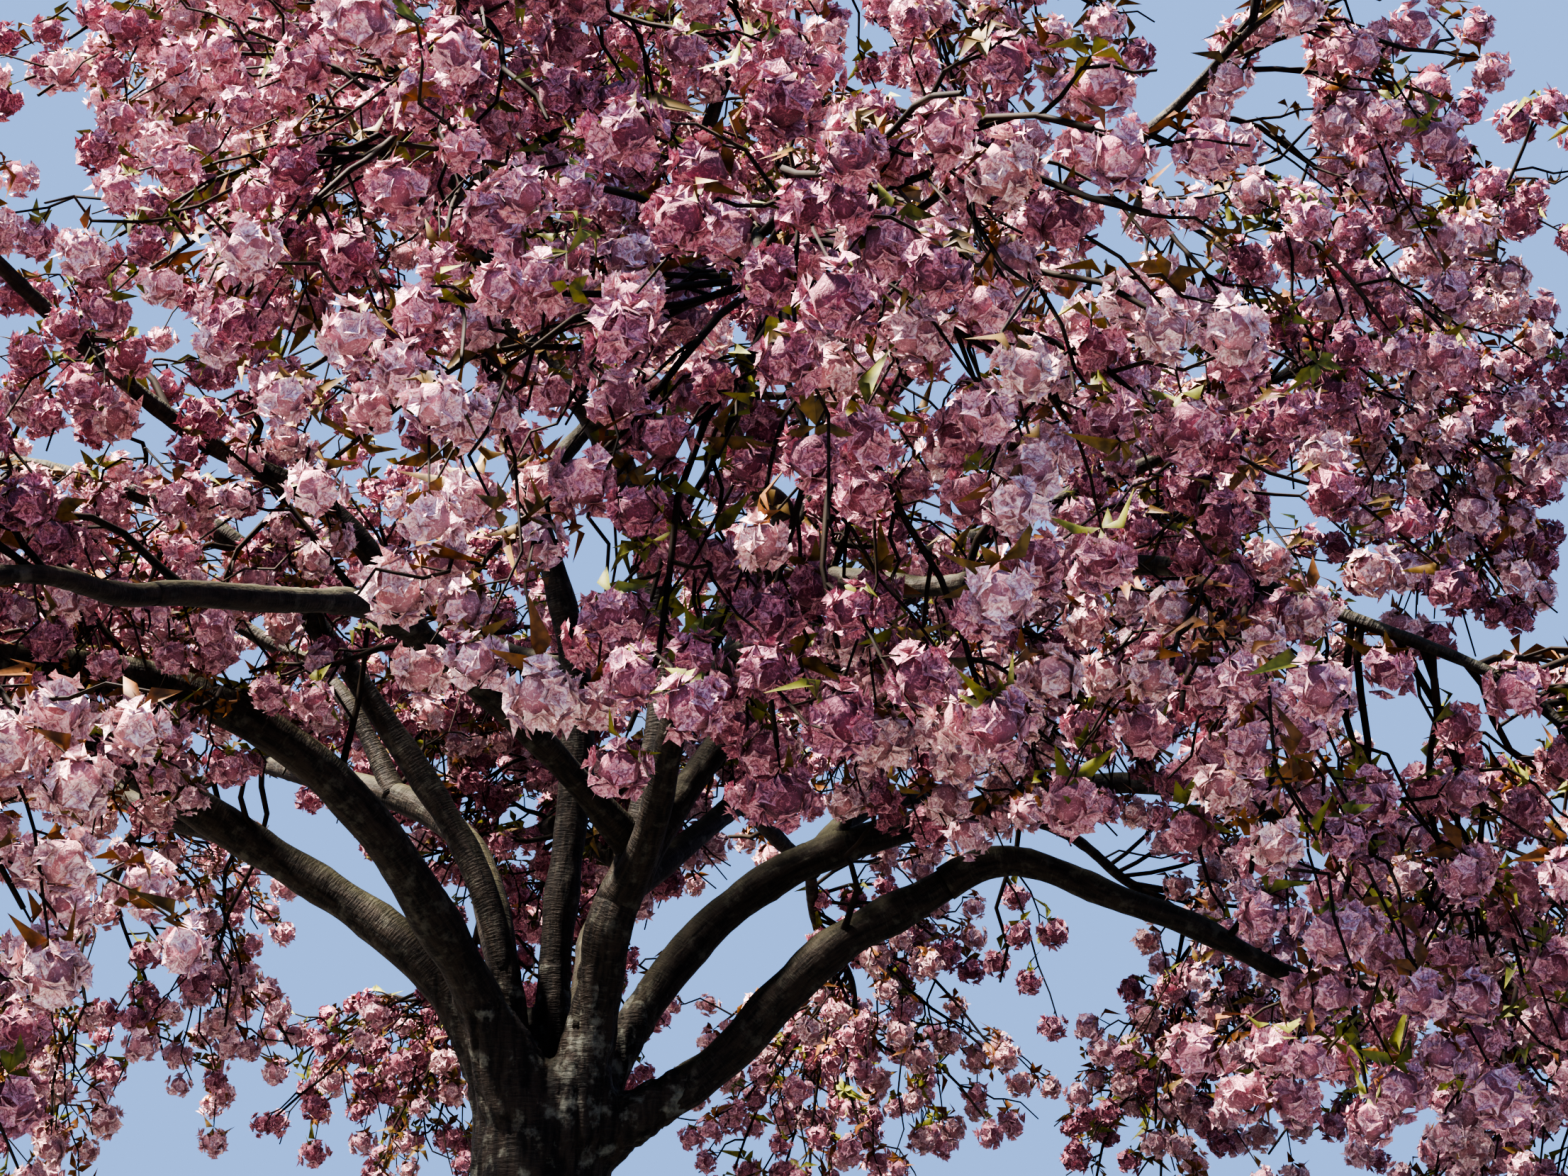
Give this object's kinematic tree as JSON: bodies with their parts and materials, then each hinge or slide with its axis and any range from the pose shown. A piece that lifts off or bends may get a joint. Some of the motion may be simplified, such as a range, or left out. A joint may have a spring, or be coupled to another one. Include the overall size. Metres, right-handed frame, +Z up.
{
  "type": "cherry blossom tree",
  "caption": "Wide, low flowering cherry in full double pink bloom: a short trunk forks at head height into arching boughs that carry blossom down to a hanging rim.",
  "frame": {"origin": "the middle of the flat cut under the trunk, at ground level", "axes": "+Z up along the trunk, +X to the right of the tree's front, +Y away from the front"},
  "size_m": [8.3254, 8.4266, 6.3357],
  "materials": {
    "trunk_bark": "rough, cracked bark",
    "bough_bark": "satin bark with bands",
    "blossom": "matte petals"
  },
  "bodies": {
    "root": {"trunk": "trunk_bark", "left_bough": "bough_bark", "left_rear_branch": "bough_bark", "front_left_bough": "bough_bark", "rear_left_bough": "bough_bark", "rear_left_riser": "bough_bark", "left_upright_bough": "bough_bark", "rear_upright_bough": "bough_bark", "rear_upright_fork": "bough_bark", "rear_shoulder_branch": "bough_bark", "front_bough": "bough_bark", "front_left_arch": "bough_bark", "front_left_riser": "bough_bark", "leader": "bough_bark", "leader_fork": "bough_bark", "front_shoulder_branch": "bough_bark", "right_rising_limb": "bough_bark", "right_shoulder_branch": "bough_bark", "front_right_limb": "bough_bark", "front_branch": "bough_bark", "front_right_arch": "bough_bark", "right_bough": "bough_bark", "right_rear_branch": "bough_bark", "low_right_bough": "bough_bark", "low_right_arch": "bough_bark", "rear_bough": "bough_bark", "rear_branch": "bough_bark", "rear_riser": "bough_bark", "rim_blossom_01": "blossom", "rim_blossom_02": "blossom", "rim_blossom_03": "blossom", "rim_blossom_04": "blossom", "rim_blossom_05": "blossom", "rim_blossom_06": "blossom", "rim_blossom_07": "blossom", "rim_blossom_08": "blossom", "rim_blossom_09": "blossom", "rim_blossom_10": "blossom", "rim_blossom_11": "blossom", "rim_blossom_12": "blossom", "shoulder_blossom_01": "blossom", "shoulder_blossom_02": "blossom", "shoulder_blossom_03": "blossom", "shoulder_blossom_04": "blossom", "shoulder_blossom_05": "blossom", "shoulder_blossom_06": "blossom", "shoulder_blossom_07": "blossom", "shoulder_blossom_08": "blossom", "shoulder_blossom_09": "blossom", "top_blossom_01": "blossom", "top_blossom_02": "blossom", "top_blossom_03": "blossom", "top_blossom_04": "blossom", "inner_blossom_01": "blossom", "inner_blossom_02": "blossom", "inner_blossom_03": "blossom", "crest_blossom_01": "blossom"}
  },
  "joints": []
}
